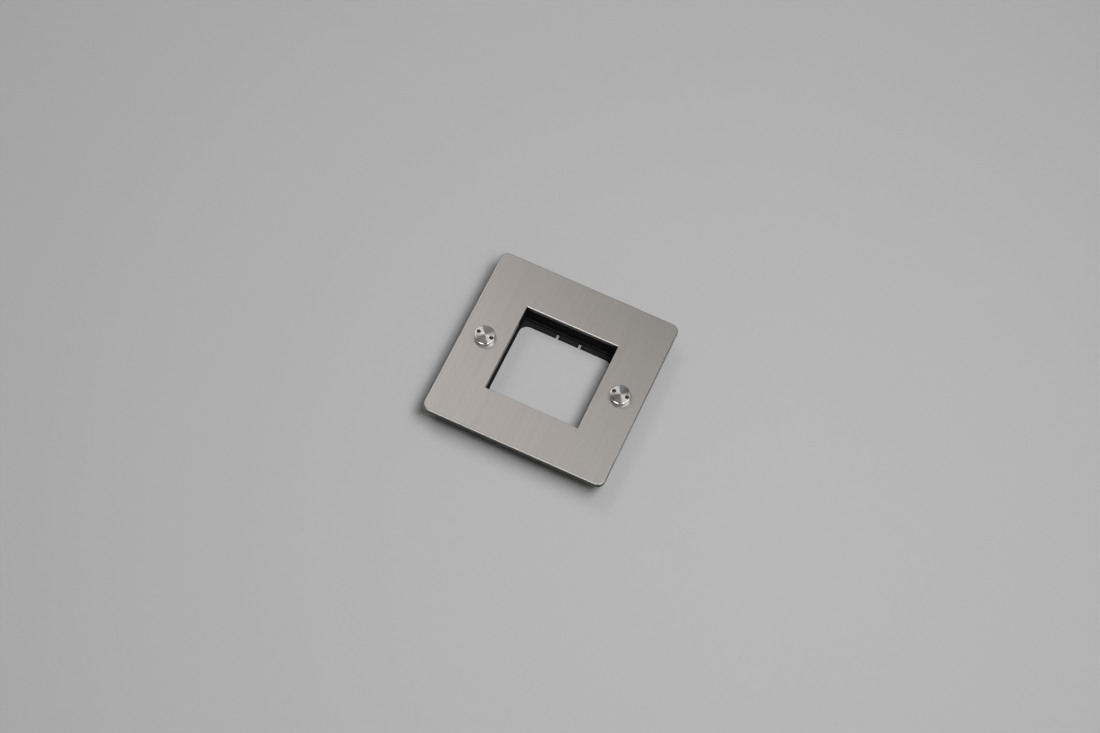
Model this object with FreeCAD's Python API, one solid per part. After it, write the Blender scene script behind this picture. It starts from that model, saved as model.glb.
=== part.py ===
"""Grid switch plate: a square metal faceplate screwed to a moulded module frame round an open aperture.

Millimetres. The frame rests on z = 0, the plate's front looks along +Z and the aperture is on the Z axis.
"""
import os

import FreeCAD
import Part

# Faceplate
PLATE_SIZE = 88.0
PLATE_THICKNESS = 2.5
PLATE_CORNER_RADIUS = 3.5
PLATE_EDGE_RADIUS = 0.6
APERTURE = 45.0
APERTURE_CHAMFER = 0.25

# Module frame behind the plate
FRAME_DEPTH = 10.1
FRAME_SIZE = 75.0
FRAME_CORNER_RADIUS = 5.0
FLANGE_THICKNESS = 2.6
WELL_CLEARANCE = 0.1
WELL_WALL = 1.6
WELL_CORNER_RADIUS = 1.5

# Ledge round the foot of the well, with the strip along its wall and the slits beside the latch tongue
LEDGE_REACH = 3.0
LEDGE_THICKNESS = 0.9
LEDGE_CORNER_RADIUS = 4.0
STEP_WIDTH = 0.7
STEP_HEIGHT = 1.0
SLIT_WIDTH = 1.3
SLIT_DEPTH = 2.0
SLIT_SPACING = 11.0

# Gussets between the well and the flange
GUSSET_THICKNESS = 1.4
GUSSET_REACH = 6.0
GUSSET_SPACING = 28.0

# Screws that hold the plate to the frame
SCREW_SPACING = 66.6
SCREW_RADIUS = 1.75
SCREW_LENGTH = 8.0
SCREW_TIP_CHAMFER = 0.4
HEAD_RADIUS = 4.85
HEAD_HEIGHT = 2.5
HEAD_EDGE_RADIUS = 0.5
PIN_HOLE_RADIUS = 1.0
PIN_HOLE_SPACING = 6.5
PIN_HOLE_DEPTH = 1.4
LEFT_PIN_ANGLE = -5.0
RIGHT_PIN_ANGLE = -3.0
PLATE_HOLE_CLEARANCE = 0.35

# Threaded inserts and the bosses that hold them
THREAD_CLEARANCE = 0.05
INSERT_RADIUS = 2.5
INSERT_LENGTH = 5.0
INSERT_GROOVE_DEPTH = 0.35
INSERT_GROOVE_WIDTH = 0.9
INSERT_INTERFERENCE = 0.04
BOSS_WALL = 1.2
BOSS_FLOOR = 1.6
BOSS_RIB = 1.6

# Slotted holes for the wall box screws, each at the foot of a pocket that hides the screw head
BOX_SCREW_SPACING = 60.3
BOX_SLOT_WIDTH = 4.0
BOX_SLOT_LENGTH = 6.0
BOX_HEAD_DIAMETER = 7.2
POCKET_DEPTH = 2.6
POCKET_FLOOR = 1.8
POCKET_WALL = 1.4

# Earth terminal on the back of the plate
EARTH_FROM_WELL = 4.3
EARTH_WIDTH = 7.0
EARTH_HEIGHT = 6.6
EARTH_CHAMFER = 0.4
EARTH_NOTCH_GAP = 0.6
STAKE_RADIUS = 1.5
STAKE_LENGTH = 1.2
STAKE_INTERFERENCE = 0.02
WIRE_HOLE_RADIUS = 1.75
WIRE_HOLE_DEPTH = 2.5
WIRE_HOLE_LENGTH = 5.4
EARTH_SCREW_RADIUS = 1.5
EARTH_SCREW_LENGTH = 3.6
EARTH_HEAD_RADIUS = 2.5
EARTH_HEAD_HEIGHT = 1.5
EARTH_HEAD_CHAMFER = 0.3
EARTH_SLOT_WIDTH = 0.8
EARTH_SLOT_DEPTH = 0.8

PLATE_TOP = FRAME_DEPTH + PLATE_THICKNESS
FLANGE_UNDERSIDE = FRAME_DEPTH - FLANGE_THICKNESS
WELL_INNER = APERTURE + 2 * WELL_CLEARANCE
WELL_OUTER = WELL_INNER + 2 * WELL_WALL
EARTH_X = WELL_OUTER / 2 + EARTH_FROM_WELL
EARTH_Y = -EARTH_X
BOSS_RADIUS = INSERT_RADIUS + BOSS_WALL
INSERT_FOOT = FRAME_DEPTH - INSERT_LENGTH
BOSS_FOOT = INSERT_FOOT - BOSS_FLOOR
PLATE_HOLE_RADIUS = SCREW_RADIUS + PLATE_HOLE_CLEARANCE
THREAD_BORE_RADIUS = SCREW_RADIUS + THREAD_CLEARANCE
SCREW_SIDES = {"left": -1, "right": 1}
PIN_ANGLES = {"left": LEFT_PIN_ANGLE, "right": RIGHT_PIN_ANGLE}
UP = FreeCAD.Vector(0, 0, 1)


def block(width, length, bottom, top, x=0.0, y=0.0):
    """Upright block centred on x, y."""
    corner = FreeCAD.Vector(x - width / 2, y - length / 2, bottom)
    return Part.makeBox(width, length, top - bottom, corner)


def rounded_block(width, length, bottom, top, radius):
    """Upright block on the Z axis with its four upright edges rounded."""
    solid = block(width, length, bottom, top)
    upright = [edge for edge in solid.Edges if edge.BoundBox.ZLength > edge.BoundBox.DiagonalLength / 2]
    return solid.makeFillet(radius, upright)


def rod(radius, bottom, top, x=0.0, y=0.0):
    """Upright cylinder at x, y."""
    return Part.makeCylinder(radius, top - bottom, FreeCAD.Vector(x, y, bottom))


def stadium(width, length, bottom, top, y):
    """Upright slot-shaped prism centred on x = 0 and y, long along Y."""
    straight = length - width
    ends = [rod(width / 2, bottom, top, 0.0, y + side * straight / 2) for side in (-1, 1)]
    return block(width, straight, bottom, top, 0.0, y).multiFuse(ends).removeSplitter()


def turned(profile):
    """Solid of revolution about the Z axis from (radius, z) points, starting and ending on the axis."""
    points = [FreeCAD.Vector(radius, 0, z) for radius, z in profile]
    return Part.Face(Part.makePolygon(points + points[:1])).revolve(FreeCAD.Vector(), UP, 360)


def edges_at(solid, z, reach):
    """Edges that lie flat at height z within reach of the Z axis along both X and Y."""
    found = []
    for edge in solid.Edges:
        box = edge.BoundBox
        flat = abs(box.ZMin - z) < 1e-6 and abs(box.ZMax - z) < 1e-6
        near = max(abs(box.XMin), abs(box.XMax), abs(box.YMin), abs(box.YMax)) < reach
        if flat and near:
            found.append(edge)
    return found


def make_faceplate():
    """Flat plate with rounded corners, a softened rim, a bevelled aperture and the screw holes."""
    plate = rounded_block(PLATE_SIZE, PLATE_SIZE, FRAME_DEPTH, PLATE_TOP, PLATE_CORNER_RADIUS)
    plate = plate.makeFillet(PLATE_EDGE_RADIUS, edges_at(plate, PLATE_TOP, PLATE_SIZE))
    plate = plate.cut(block(APERTURE, APERTURE, FRAME_DEPTH, PLATE_TOP))
    rim = edges_at(plate, PLATE_TOP, APERTURE / 2 + APERTURE_CHAMFER)
    plate = plate.makeChamfer(APERTURE_CHAMFER, rim)
    for side in SCREW_SIDES.values():
        plate = plate.cut(rod(PLATE_HOLE_RADIUS, FRAME_DEPTH, PLATE_TOP, side * SCREW_SPACING / 2))
    stake_hole = rod(STAKE_RADIUS, FRAME_DEPTH, FRAME_DEPTH + STAKE_LENGTH, EARTH_X, EARTH_Y)
    return plate.cut(stake_hole)


def make_well():
    """Square tube under the aperture with the thin ledge round its foot."""
    tube = rounded_block(WELL_OUTER, WELL_OUTER, 0, FRAME_DEPTH, WELL_CORNER_RADIUS)
    tube = tube.cut(block(WELL_INNER, WELL_INNER, LEDGE_THICKNESS, FRAME_DEPTH))
    clear_length = WELL_INNER - 2 * LEDGE_REACH
    tube = tube.cut(rounded_block(WELL_INNER, clear_length, 0, LEDGE_THICKNESS, LEDGE_CORNER_RADIUS))
    for side in (-1, 1):
        step_y = side * (WELL_INNER - STEP_WIDTH) / 2
        step_top = LEDGE_THICKNESS + STEP_HEIGHT
        tube = tube.fuse(block(WELL_INNER, STEP_WIDTH, LEDGE_THICKNESS, step_top, 0.0, step_y))
        slit_y = side * (clear_length + SLIT_DEPTH) / 2
        for slit_x in (-SLIT_SPACING / 2, SLIT_SPACING / 2):
            tube = tube.cut(block(SLIT_WIDTH, SLIT_DEPTH, 0, LEDGE_THICKNESS, slit_x, slit_y))
    return tube


def make_flange():
    """Flat flange against the back of the plate, open over the well and cut away round the terminal."""
    flange = rounded_block(FRAME_SIZE, FRAME_SIZE, FLANGE_UNDERSIDE, FRAME_DEPTH, FRAME_CORNER_RADIUS)
    flange = flange.cut(block(WELL_INNER, WELL_INNER, FLANGE_UNDERSIDE, FRAME_DEPTH))
    notch = FRAME_SIZE / 2 - (EARTH_X - EARTH_WIDTH / 2 - EARTH_NOTCH_GAP)
    middle = (FRAME_SIZE - notch) / 2
    return flange.cut(block(notch, notch, FLANGE_UNDERSIDE, FRAME_DEPTH, middle, -middle))


def make_gussets():
    """Two triangular gussets from each outer face of the well to the flange."""
    wall = WELL_OUTER / 2
    top = FLANGE_UNDERSIDE
    corners = [(wall, top), (wall + GUSSET_REACH, top), (wall, top - GUSSET_REACH)]
    gussets = []
    for offset in (-GUSSET_SPACING / 2, GUSSET_SPACING / 2):
        start = offset - GUSSET_THICKNESS / 2
        points = [FreeCAD.Vector(x, start, z) for x, z in corners]
        face = Part.Face(Part.makePolygon(points + points[:1]))
        web = face.extrude(FreeCAD.Vector(0, GUSSET_THICKNESS, 0))
        for turn in (0, 90, 180, 270):
            gussets.append(web.rotated(FreeCAD.Vector(), UP, turn))
    return gussets


def make_grid_frame():
    """One moulding: the well, the flange, its gussets, the insert bosses and the wall box screw pockets."""
    frame = make_flange().multiFuse([make_well()] + make_gussets())
    for side in SCREW_SIDES.values():
        boss_x = side * SCREW_SPACING / 2
        rib_x = side * (WELL_OUTER + SCREW_SPACING) / 4
        rib = block((SCREW_SPACING - WELL_OUTER) / 2, BOSS_RIB, BOSS_FOOT, FLANGE_UNDERSIDE, rib_x)
        frame = frame.multiFuse([rod(BOSS_RADIUS, BOSS_FOOT, FLANGE_UNDERSIDE, boss_x), rib])
        insert_hole = rod(INSERT_RADIUS - INSERT_INTERFERENCE, INSERT_FOOT, FRAME_DEPTH, boss_x)
        frame = frame.cut(insert_hole).cut(rod(PLATE_HOLE_RADIUS, BOSS_FOOT, INSERT_FOOT, boss_x))
    travel = BOX_SLOT_LENGTH - BOX_SLOT_WIDTH
    cup_width = BOX_HEAD_DIAMETER + 2 * POCKET_WALL
    seat = FRAME_DEPTH - POCKET_DEPTH
    foot = seat - POCKET_FLOOR
    for side in (-1, 1):
        y = side * BOX_SCREW_SPACING / 2
        frame = frame.fuse(stadium(cup_width, cup_width + travel, foot, FLANGE_UNDERSIDE, y))
        frame = frame.cut(stadium(BOX_HEAD_DIAMETER, BOX_HEAD_DIAMETER + travel, seat, FRAME_DEPTH, y))
        frame = frame.cut(stadium(BOX_SLOT_WIDTH, BOX_SLOT_LENGTH, foot, seat, y))
    return frame.removeSplitter()


def make_plate_screw(x, pin_angle):
    """Turned screw with a proud round head, two blind holes for a pin key and a plain shank."""
    tip = PLATE_TOP - SCREW_LENGTH
    head_top = PLATE_TOP + HEAD_HEIGHT
    screw = turned([
        (0, tip),
        (SCREW_RADIUS - SCREW_TIP_CHAMFER, tip),
        (SCREW_RADIUS, tip + SCREW_TIP_CHAMFER),
        (SCREW_RADIUS, PLATE_TOP),
        (HEAD_RADIUS, PLATE_TOP),
        (HEAD_RADIUS, head_top),
        (0, head_top),
    ])
    screw = screw.makeFillet(HEAD_EDGE_RADIUS, edges_at(screw, head_top, PLATE_SIZE))
    for side in (-1, 1):
        screw = screw.cut(rod(PIN_HOLE_RADIUS, head_top - PIN_HOLE_DEPTH, head_top, side * PIN_HOLE_SPACING / 2))
    return screw.rotated(FreeCAD.Vector(), UP, pin_angle).translated(FreeCAD.Vector(x, 0, 0))


def make_insert(x):
    """Brass sleeve with a locking groove round its middle, flush with the top of its boss."""
    middle = FRAME_DEPTH - INSERT_LENGTH / 2
    groove_radius = INSERT_RADIUS - INSERT_GROOVE_DEPTH
    sleeve = rod(INSERT_RADIUS, INSERT_FOOT, FRAME_DEPTH)
    ring_foot = middle - INSERT_GROOVE_WIDTH / 2
    ring_top = middle + INSERT_GROOVE_WIDTH / 2
    ring = rod(INSERT_RADIUS, ring_foot, ring_top).cut(rod(groove_radius, ring_foot, ring_top))
    sleeve = sleeve.cut(ring).cut(rod(THREAD_BORE_RADIUS, INSERT_FOOT, FRAME_DEPTH))
    return sleeve.translated(FreeCAD.Vector(x, 0, 0))


def make_earth_terminal():
    """Terminal block staked into the plate, with a wire hole from one side and a clamp hole from behind."""
    foot = FRAME_DEPTH - EARTH_HEIGHT
    body = block(EARTH_WIDTH, EARTH_WIDTH, foot, FRAME_DEPTH)
    body = body.makeChamfer(EARTH_CHAMFER, edges_at(body, foot, EARTH_WIDTH))
    body = body.fuse(rod(STAKE_RADIUS + STAKE_INTERFERENCE, FRAME_DEPTH, FRAME_DEPTH + STAKE_LENGTH))
    wire_z = FRAME_DEPTH - WIRE_HOLE_DEPTH
    start = FreeCAD.Vector(EARTH_WIDTH / 2 - WIRE_HOLE_LENGTH, 0, wire_z)
    body = body.cut(Part.makeCylinder(WIRE_HOLE_RADIUS, WIRE_HOLE_LENGTH, start, FreeCAD.Vector(1, 0, 0)))
    body = body.cut(rod(EARTH_SCREW_RADIUS + THREAD_CLEARANCE, foot, wire_z))
    return body.translated(FreeCAD.Vector(EARTH_X, EARTH_Y, 0))


def make_earth_screw():
    """Cheese-head clamp screw, backed off so that its tip just clears the wire hole."""
    tip = FRAME_DEPTH - WIRE_HOLE_DEPTH - WIRE_HOLE_RADIUS
    seat = tip - EARTH_SCREW_LENGTH
    crown = seat - EARTH_HEAD_HEIGHT
    screw = turned([
        (0, tip),
        (EARTH_SCREW_RADIUS, tip),
        (EARTH_SCREW_RADIUS, seat),
        (EARTH_HEAD_RADIUS, seat),
        (EARTH_HEAD_RADIUS, crown + EARTH_HEAD_CHAMFER),
        (EARTH_HEAD_RADIUS - EARTH_HEAD_CHAMFER, crown),
        (0, crown),
    ])
    screw = screw.cut(block(2 * EARTH_HEAD_RADIUS, EARTH_SLOT_WIDTH, crown, crown + EARTH_SLOT_DEPTH))
    return screw.translated(FreeCAD.Vector(EARTH_X, EARTH_Y, 0))


def make_parts():
    """Every piece by its node's name."""
    parts = {
        "faceplate": make_faceplate(),
        "grid_frame": make_grid_frame(),
        "earth_terminal": make_earth_terminal(),
        "earth_screw": make_earth_screw(),
    }
    for name, side in SCREW_SIDES.items():
        screw_x = side * SCREW_SPACING / 2
        parts[f"{name}_screw"] = make_plate_screw(screw_x, PIN_ANGLES[name])
        parts[f"{name}_insert"] = make_insert(screw_x)
    return parts


os.makedirs("parts", exist_ok=True)
for node, solid in make_parts().items():
    solid.exportStep(f"parts/{node}.step")
    print(node, "solids", len(solid.Solids), "valid", solid.isValid(), "volume", round(solid.Volume, 2))
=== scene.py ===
"""Looks of the grid switch plate: brushed steel, turned screws and black moulding on a pale floor."""
import math

import bpy
from mathutils import Matrix, Quaternion, Vector


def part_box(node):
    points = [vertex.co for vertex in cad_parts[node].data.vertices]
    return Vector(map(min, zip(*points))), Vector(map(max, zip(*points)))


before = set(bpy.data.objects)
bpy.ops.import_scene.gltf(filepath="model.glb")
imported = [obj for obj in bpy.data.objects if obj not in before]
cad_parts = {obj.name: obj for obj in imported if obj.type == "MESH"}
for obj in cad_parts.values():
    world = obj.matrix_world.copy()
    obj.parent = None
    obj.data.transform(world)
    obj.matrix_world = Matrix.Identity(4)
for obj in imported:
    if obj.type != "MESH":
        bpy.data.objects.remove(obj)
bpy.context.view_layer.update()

QUARTER_TURN = 90.0

# The photograph's frame and its camera, solved from the plate's outline, in pixels, degrees and metres.
# The camera's azimuth is counted from the front.
PHOTO_WIDTH = 1100
PHOTO_HEIGHT = 733
FOCAL_PX = 2678
PLATE_CENTRE_PX = (552.1, 366.54)
CAMERA_AZIMUTH = 16.11
CAMERA_ELEVATION = 63.67
CAMERA_ROLL = 9.20
CAMERA_DISTANCE = 1.1978
SENSOR_MM = 36.0

# Noise: how fine its detail is, how rough, and the range that most of its values lie in
COARSE_DETAIL = 2.0
USUAL_DETAIL = 3.0
FINE_DETAIL = 4.0
NOISE_ROUGHNESS = 0.6
NOISE_RANGE = (0.3, 0.7)
FULL_RANGE = (0.0, 1.0)

# In the looks below, tints are linear colours from dark to light, noise scales count per metre along X, Y and Z,
# a relief is a strength and a depth in metres, and a facing is a range of the normal's Z.

# Plate: brushed face, polished edges round it, and plain sheared sides whose tint is painted dark as shade
BRUSH_LINES = (2600.0, 45.0, 45.0)
BRUSH_BANDS = (420.0, 9.0, 9.0)
BRUSH_RELIEF = (0.03, 0.00003)
BRUSH_ANISOTROPY = 0.7
FACE_FACING = (0.96, 0.995)
FACE_TINTS = ((0.485, 0.470, 0.458), (0.510, 0.495, 0.483))
FACE_ROUGHNESS = (0.34, 0.38)
# The sides' tint is painted shade: dark on the sides, lightening to the polished edges' tint over this facing
# range.
SIDE_SHADE_FACING = (0.62, 0.82)
SHADED_SIDE_AND_EDGE_TINTS = ((0.07, 0.067, 0.064), (0.53, 0.52, 0.51))
SIDE_ROUGHNESS = (0.24, 0.28)

# Screws: turned head, smoother rim and drilled pin holes, their tint painted dark as shade. Shares of the screw's
# box say how far out from its axis the pin holes can reach and how high its face lies.
BOX_MIDDLE = 0.5
HEAD_RIM_SHARE = 0.445
HEAD_FACE_SHARE = 0.995
HEAD_RINGS = 90.0
HEAD_TINTS = ((0.66, 0.65, 0.64), (0.74, 0.73, 0.72))
HEAD_ROUGHNESS = (0.31, 0.35)
RIM_ROUGHNESS = (0.11, 0.15)
PIN_HOLE_SHADE_TINTS = ((0.20, 0.18, 0.16), (0.30, 0.27, 0.24))
PIN_HOLE_ROUGHNESS = (0.45, 0.55)
TURNED_ANISOTROPY = 0.95
TURNED_ROTATION = 0.25

# Frame: moulded plastic, painted paler where it faces up, as a sheen on its ledges
GRAIN_SCALE = (2500.0, 2500.0, 2500.0)
GRAIN_RELIEF = (0.25, 0.00005)
PATCH_SCALE = (160.0, 160.0, 160.0)
WALL_TINTS = ((0.010, 0.010, 0.010), (0.014, 0.014, 0.014))
LEDGE_SHEEN_FACING = (0.8, 0.95)
LEDGE_SHEEN_TINTS = ((0.028, 0.028, 0.028), (0.038, 0.038, 0.038))
FRAME_ROUGHNESS = (0.75, 0.85)
FRAME_SPECULAR = 0.02

# Inserts and terminal: brass with tool marks
TOOL_MARKS = (300.0, 300.0, 3500.0)
BRASS_TINTS = ((0.62, 0.43, 0.16), (0.72, 0.53, 0.24))
BRASS_ROUGHNESS = (0.24, 0.38)
BRASS_RELIEF = (0.10, 0.00003)

# Clamp screw: cloudy zinc plating
ZINC_CLOUDS = (700.0, 700.0, 700.0)
ZINC_TINTS = ((0.50, 0.50, 0.47), (0.62, 0.61, 0.55))
ZINC_ROUGHNESS = (0.28, 0.42)

# Studio: a large pale floor in dim surroundings, under soft panels
FLOOR_SIZE = 6.0
FLOOR_COLOUR = (0.745, 0.75, 0.755)
FLOOR_ROUGHNESS = 0.9
FLOOR_SPECULAR = 0.1
WORLD_STRENGTH = 0.055
WHITE = (1.0, 1.0, 1.0)
WARM = (1.0, 0.94, 0.89)

# Each panel has a name, the azimuth, elevation and distance it stands at, the azimuth its long side follows, its
# length and width, the radiance it lights with, the radiance that shows in shine, and its colour
PANELS = [
    ("key", 0.0, 72.7, 0.90, -66.0, 0.56, 0.42, 4.3, 0.0, WHITE),
    ("key_right", 6.3, 62.0, 0.90, -66.0, 0.50, 0.22, 1.1, 0.0, WHITE),
    ("key_front", -42.0, 69.0, 0.90, -66.0, 0.30, 0.24, 4.6, 0.0, WHITE),
    ("fill", 138.5, 55.2, 1.60, 170.0, 0.57, 0.42, 3.1, 2.8, WARM),
    ("back", 65.0, 60.0, 1.60, 0.0, 0.50, 0.25, 0.95, 0.2, WARM),
    ("gleam", 20.0, 67.5, 1.80, 58.0, 0.85, 0.85, 0.0, 3.5, WHITE),
    ("glint", -97.0, 28.0, 2.00, -7.0, 1.20, 1.60, 0.0, 3.7, WHITE),
    ("glint_right", -37.0, 33.0, 1.80, 53.0, 0.40, 0.36, 0.0, 7.0, WHITE),
]

# All panels turn to one point beside the object. The lamp for shine stands a step nearer than the lamp for light,
# because two lamps in the same place hide each other.
PANEL_AIM = (-0.38, 0.0, 0.0)
SHINE_STEP = 0.01

# Ring of low panels that only show in shine, so that the metal has something to mirror from every side
RING_AZIMUTHS = (-45.0, 0.0, 45.0, 90.0, 135.0, 180.0, 225.0)
RING_ELEVATION = 20.0
RING_DISTANCE = 2.0
RING_LENGTH = 1.7
RING_WIDTH = 1.30
RING_LIGHT = 0.0
RING_SHINE = 0.5


def polar(azimuth, elevation):
    """Unit vector towards an azimuth, counted from +X towards +Y, and an elevation."""
    turn = math.radians(azimuth)
    rise = math.radians(elevation)
    return Vector((math.cos(turn) * math.cos(rise), math.sin(turn) * math.cos(rise), math.sin(rise)))


def new_material(name):
    """New node material with one Principled shader, as (material, node tree, shader)."""
    material = bpy.data.materials.new(name)
    material.use_nodes = True
    tree = material.node_tree
    return material, tree, tree.nodes["Principled BSDF"]


def add_node(tree, kind, **settings):
    """New node with its settings applied."""
    made = tree.nodes.new(kind)
    for key, value in settings.items():
        setattr(made, key, value)
    return made


def stretched_noise(tree, scale, detail=USUAL_DETAIL):
    """Noise in object coordinates, stretched by a scale along each axis."""
    place = add_node(tree, "ShaderNodeTexCoord")
    mapping = add_node(tree, "ShaderNodeMapping")
    mapping.inputs["Scale"].default_value = scale
    noise = add_node(tree, "ShaderNodeTexNoise")
    noise.inputs["Scale"].default_value = 1.0
    noise.inputs["Detail"].default_value = detail
    noise.inputs["Roughness"].default_value = NOISE_ROUGHNESS
    tree.links.new(place.outputs["Object"], mapping.inputs["Vector"])
    tree.links.new(mapping.outputs["Vector"], noise.inputs["Vector"])
    return noise.outputs["Fac"]


def ranged(tree, value, target=FULL_RANGE, source=NOISE_RANGE):
    """Value spread from the range it comes in over a target range."""
    spread = add_node(tree, "ShaderNodeMapRange")
    spread.inputs["From Min"].default_value, spread.inputs["From Max"].default_value = source
    spread.inputs["To Min"].default_value, spread.inputs["To Max"].default_value = target
    tree.links.new(value, spread.inputs["Value"])
    return spread.outputs["Result"]


def mixed(tree, factor, tints):
    """Colour between two tints by a factor."""
    dark, light = tints
    blend = add_node(tree, "ShaderNodeMix", data_type="RGBA")
    blend.inputs["A"].default_value = (*dark, 1.0)
    blend.inputs["B"].default_value = (*light, 1.0)
    tree.links.new(factor, blend.inputs["Factor"])
    return blend.outputs["Result"]


def blended(tree, factor, first, second):
    """Number or colour between two linked ones by a factor."""
    kind = "FLOAT" if first.type == "VALUE" else "RGBA"
    blend = add_node(tree, "ShaderNodeMix", data_type=kind)
    sockets = {socket.name: socket for socket in blend.inputs if socket.enabled}
    tree.links.new(factor, sockets["Factor"])
    tree.links.new(first, sockets["A"])
    tree.links.new(second, sockets["B"])
    return next(socket for socket in blend.outputs if socket.enabled)


def computed(tree, operation, first, second):
    """Sum, product, comparison or the like of a value and a value or number."""
    step = add_node(tree, "ShaderNodeMath", operation=operation)
    for socket, source in zip(step.inputs, (first, second)):
        if isinstance(source, float):
            socket.default_value = source
        else:
            tree.links.new(source, socket)
    return step.outputs["Value"]


def part_coordinate(tree, output, axis):
    """One coordinate of a part: Normal for where its surface faces, Generated for its place in its box."""
    place = add_node(tree, "ShaderNodeTexCoord")
    split = add_node(tree, "ShaderNodeSeparateXYZ")
    tree.links.new(place.outputs[output], split.inputs["Vector"])
    return split.outputs[axis]


def bumped(tree, shader, height, relief):
    """Fine relief from a height value."""
    bump = add_node(tree, "ShaderNodeBump")
    bump.inputs["Strength"].default_value, bump.inputs["Distance"].default_value = relief
    tree.links.new(height, bump.inputs["Height"])
    tree.links.new(bump.outputs["Normal"], shader.inputs["Normal"])


def brushed_steel():
    """Steel brushed along Y, so that its shine spreads along X, with polished edges and sides painted dark as
    shade.
    """
    material, tree, shader = new_material("brushed_steel")
    lines = stretched_noise(tree, BRUSH_LINES)
    bands = stretched_noise(tree, BRUSH_BANDS, COARSE_DETAIL)
    facing = part_coordinate(tree, "Normal", "Z")
    flat = ranged(tree, facing, source=FACE_FACING)
    side_shade_fade = ranged(tree, facing, source=SIDE_SHADE_FACING)
    face_tint = mixed(tree, ranged(tree, bands), FACE_TINTS)
    # Painted shade: the sides are tinted dark, lightening towards the polished edges.
    shaded_side_and_edge_tint = mixed(tree, side_shade_fade, SHADED_SIDE_AND_EDGE_TINTS)
    tree.links.new(blended(tree, flat, shaded_side_and_edge_tint, face_tint), shader.inputs["Base Color"])
    face_gloss = ranged(tree, lines, FACE_ROUGHNESS)
    side_gloss = ranged(tree, lines, SIDE_ROUGHNESS)
    tree.links.new(blended(tree, flat, side_gloss, face_gloss), shader.inputs["Roughness"])
    bumped(tree, shader, lines, BRUSH_RELIEF)
    shader.inputs["Metallic"].default_value = 1.0
    shader.inputs["Anisotropic"].default_value = BRUSH_ANISOTROPY
    across = add_node(tree, "ShaderNodeCombineXYZ")
    across.inputs["X"].default_value = 1.0
    tree.links.new(across.outputs["Vector"], shader.inputs["Tangent"])
    return material


def turned_steel():
    """Lathe-turned steel: fine rings, so that its shine fans out from the axis, and dull drilled holes painted dark
    as shade.
    """
    material, tree, shader = new_material("turned_steel")
    places = [part_coordinate(tree, "Generated", axis) for axis in ("X", "Y")]
    offsets = [computed(tree, "SUBTRACT", place, BOX_MIDDLE) for place in places]
    squares = [computed(tree, "MULTIPLY", offset, offset) for offset in offsets]
    from_axis = computed(tree, "SQRT", computed(tree, "ADD", *squares), 0.0)
    rings = add_node(tree, "ShaderNodeTexNoise", noise_dimensions="1D")
    rings.inputs["Scale"].default_value = HEAD_RINGS
    tree.links.new(from_axis, rings.inputs["W"])
    ring = rings.outputs["Fac"]
    inside = computed(tree, "LESS_THAN", from_axis, HEAD_RIM_SHARE)
    sunk = computed(tree, "LESS_THAN", part_coordinate(tree, "Generated", "Z"), HEAD_FACE_SHARE)
    drilled = computed(tree, "MULTIPLY", inside, sunk)
    head_tint = mixed(tree, ranged(tree, ring), HEAD_TINTS)
    # Painted shade: the pin holes are tinted dark brown.
    hole_shade_tint = mixed(tree, ring, PIN_HOLE_SHADE_TINTS)
    tree.links.new(blended(tree, drilled, head_tint, hole_shade_tint), shader.inputs["Base Color"])
    rim_gloss = ranged(tree, ring, RIM_ROUGHNESS)
    head_gloss = blended(tree, inside, rim_gloss, ranged(tree, ring, HEAD_ROUGHNESS))
    hole_gloss = ranged(tree, ring, PIN_HOLE_ROUGHNESS)
    tree.links.new(blended(tree, drilled, head_gloss, hole_gloss), shader.inputs["Roughness"])
    shader.inputs["Metallic"].default_value = 1.0
    shader.inputs["Anisotropic"].default_value = TURNED_ANISOTROPY
    shader.inputs["Anisotropic Rotation"].default_value = TURNED_ROTATION
    round_axis = add_node(tree, "ShaderNodeTangent", direction_type="RADIAL", axis="Z")
    tree.links.new(round_axis.outputs["Tangent"], shader.inputs["Tangent"])
    return material


def moulded_black():
    """Black moulded plastic with a fine spark-eroded texture, painted paler where it faces up as a sheen."""
    material, tree, shader = new_material("moulded_black")
    grain = stretched_noise(tree, GRAIN_SCALE, FINE_DETAIL)
    patches = ranged(tree, stretched_noise(tree, PATCH_SCALE, COARSE_DETAIL))
    wall_tint = mixed(tree, patches, WALL_TINTS)
    # Painted sheen: faces turned up are tinted paler than the walls.
    ledge_sheen_tint = mixed(tree, patches, LEDGE_SHEEN_TINTS)
    upward_sheen = ranged(tree, part_coordinate(tree, "Normal", "Z"), source=LEDGE_SHEEN_FACING)
    tree.links.new(blended(tree, upward_sheen, wall_tint, ledge_sheen_tint), shader.inputs["Base Color"])
    tree.links.new(ranged(tree, grain, FRAME_ROUGHNESS), shader.inputs["Roughness"])
    bumped(tree, shader, grain, GRAIN_RELIEF)
    shader.inputs["Specular IOR Level"].default_value = FRAME_SPECULAR
    return material


def machined_brass():
    """Machined brass with faint tool marks."""
    material, tree, shader = new_material("machined_brass")
    marks = stretched_noise(tree, TOOL_MARKS)
    tint = mixed(tree, ranged(tree, marks), BRASS_TINTS)
    tree.links.new(tint, shader.inputs["Base Color"])
    tree.links.new(ranged(tree, marks, BRASS_ROUGHNESS), shader.inputs["Roughness"])
    bumped(tree, shader, marks, BRASS_RELIEF)
    shader.inputs["Metallic"].default_value = 1.0
    return material


def zinc_plate():
    """Zinc plating with a faint cloudy passivation."""
    material, tree, shader = new_material("zinc_plate")
    clouds = stretched_noise(tree, ZINC_CLOUDS)
    tint = mixed(tree, ranged(tree, clouds), ZINC_TINTS)
    tree.links.new(tint, shader.inputs["Base Color"])
    tree.links.new(ranged(tree, clouds, ZINC_ROUGHNESS), shader.inputs["Roughness"])
    shader.inputs["Metallic"].default_value = 1.0
    return material


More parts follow.
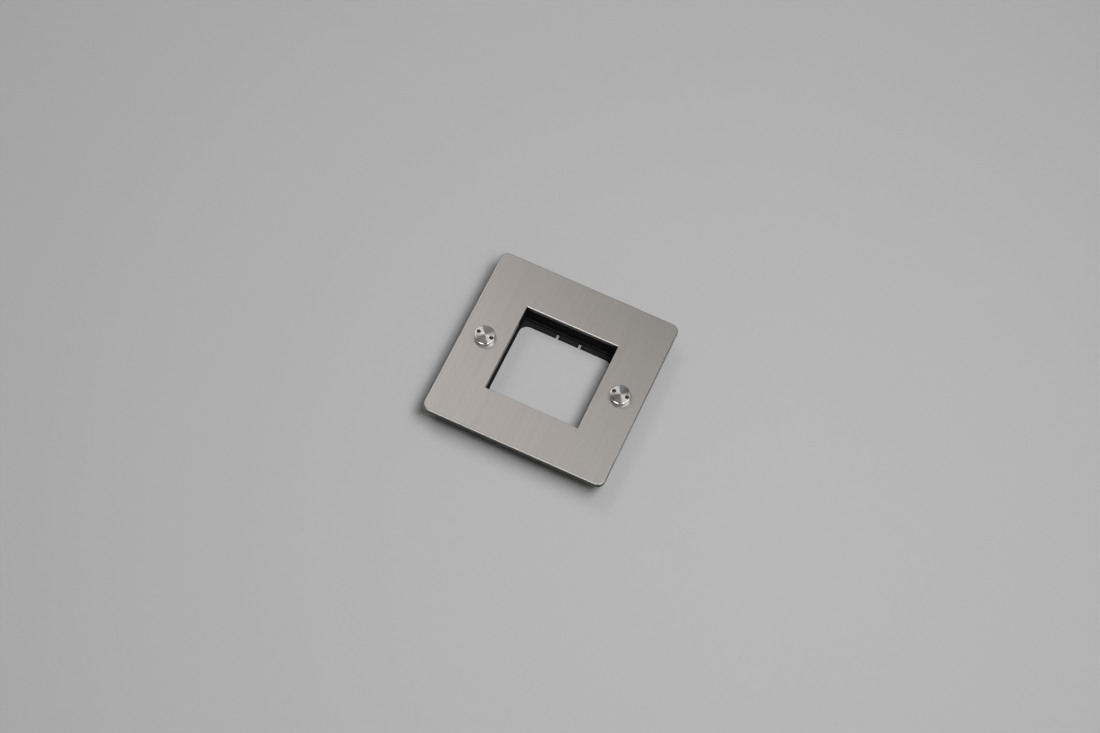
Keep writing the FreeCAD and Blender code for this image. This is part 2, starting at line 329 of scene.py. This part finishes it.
def floor_paint():
    """Plain pale matt paint."""
    material, _, shader = new_material("floor_paint")
    shader.inputs["Base Color"].default_value = (*FLOOR_COLOUR, 1.0)
    shader.inputs["Roughness"].default_value = FLOOR_ROUGHNESS
    shader.inputs["Specular IOR Level"].default_value = FLOOR_SPECULAR
    return material


def dress(node, material):
    """Gives a CAD node its material."""
    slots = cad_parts[node].data.materials
    slots.clear()
    slots.append(material)


def add_floor():
    """Floor that the frame stands on."""
    bpy.ops.mesh.primitive_plane_add(size=FLOOR_SIZE)
    floor = bpy.context.object
    floor.name = "floor"
    floor.data.materials.append(floor_paint())


def add_panel(name, azimuth, elevation, distance, edge_azimuth, length, width, light, shine, colour):
    """Soft rectangular panel, its long side as near as it can be to an azimuth: a lamp for light, one for shine."""
    place = polar(azimuth, elevation) * distance
    towards = (place - Vector(PANEL_AIM)).normalized()
    along = polar(edge_azimuth, 0.0)
    along = (along - along.dot(towards) * towards).normalized()
    turn = Matrix((along, towards.cross(along), towards)).transposed().to_euler()
    for use, radiance, step in (("light", light, 0.0), ("shine", shine, SHINE_STEP)):
        if not radiance:
            continue
        lamp = bpy.data.lights.new(f"{name}_{use}", "AREA")
        lamp.shape = "RECTANGLE"
        lamp.size = length
        lamp.size_y = width
        lamp.color = colour
        lamp.energy = math.pi * length * width * radiance
        panel = bpy.data.objects.new(lamp.name, lamp)
        bpy.context.scene.collection.objects.link(panel)
        panel.location = place - towards * step
        panel.rotation_euler = turn
        panel.visible_camera = False
        panel.visible_diffuse = use == "light"
        panel.visible_glossy = use == "shine"


def add_world():
    """Even fill from all round."""
    world = bpy.data.worlds.new("studio")
    world.use_nodes = True
    background = world.node_tree.nodes["Background"]
    background.inputs["Strength"].default_value = WORLD_STRENGTH
    background.inputs["Color"].default_value = (*WHITE, 1.0)
    bpy.context.scene.world = world


def add_camera(target):
    """Camera at the photograph's angle, with the target at its place in the photograph."""
    lens = bpy.data.cameras.new("camera")
    lens.sensor_fit = "HORIZONTAL"
    lens.sensor_width = SENSOR_MM
    lens.lens = FOCAL_PX / PHOTO_WIDTH * SENSOR_MM
    camera = bpy.data.objects.new("camera", lens)
    bpy.context.scene.collection.objects.link(camera)
    back = polar(CAMERA_AZIMUTH - QUARTER_TURN, CAMERA_ELEVATION)
    roll = Quaternion((0.0, 0.0, 1.0), math.radians(CAMERA_ROLL))
    turn = (-back).to_track_quat("-Z", "Y") @ roll
    metres_per_px = CAMERA_DISTANCE / FOCAL_PX
    right = (PLATE_CENTRE_PX[0] - PHOTO_WIDTH / 2) * metres_per_px
    up = (PHOTO_HEIGHT / 2 - PLATE_CENTRE_PX[1]) * metres_per_px
    camera.location = target + back * CAMERA_DISTANCE - turn @ Vector((right, up, 0.0))
    camera.rotation_mode = "QUATERNION"
    camera.rotation_quaternion = turn
    bpy.context.scene.camera = camera


dress("faceplate", brushed_steel())
dress("grid_frame", moulded_black())
screw_finish = turned_steel()
brass_finish = machined_brass()
for side in ("left", "right"):
    dress(f"{side}_screw", screw_finish)
    dress(f"{side}_insert", brass_finish)
dress("earth_terminal", brass_finish)
dress("earth_screw", zinc_plate())

add_floor()
add_world()
for panel in PANELS:
    add_panel(*panel)
for azimuth in RING_AZIMUTHS:
    add_panel(f"ring_{azimuth:.0f}", azimuth, RING_ELEVATION, RING_DISTANCE, azimuth + QUARTER_TURN,
              RING_LENGTH, RING_WIDTH, RING_LIGHT, RING_SHINE, WHITE)
add_camera(Vector((0.0, 0.0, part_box("faceplate")[1].z)))
bpy.context.scene.view_settings.view_transform = "Standard"
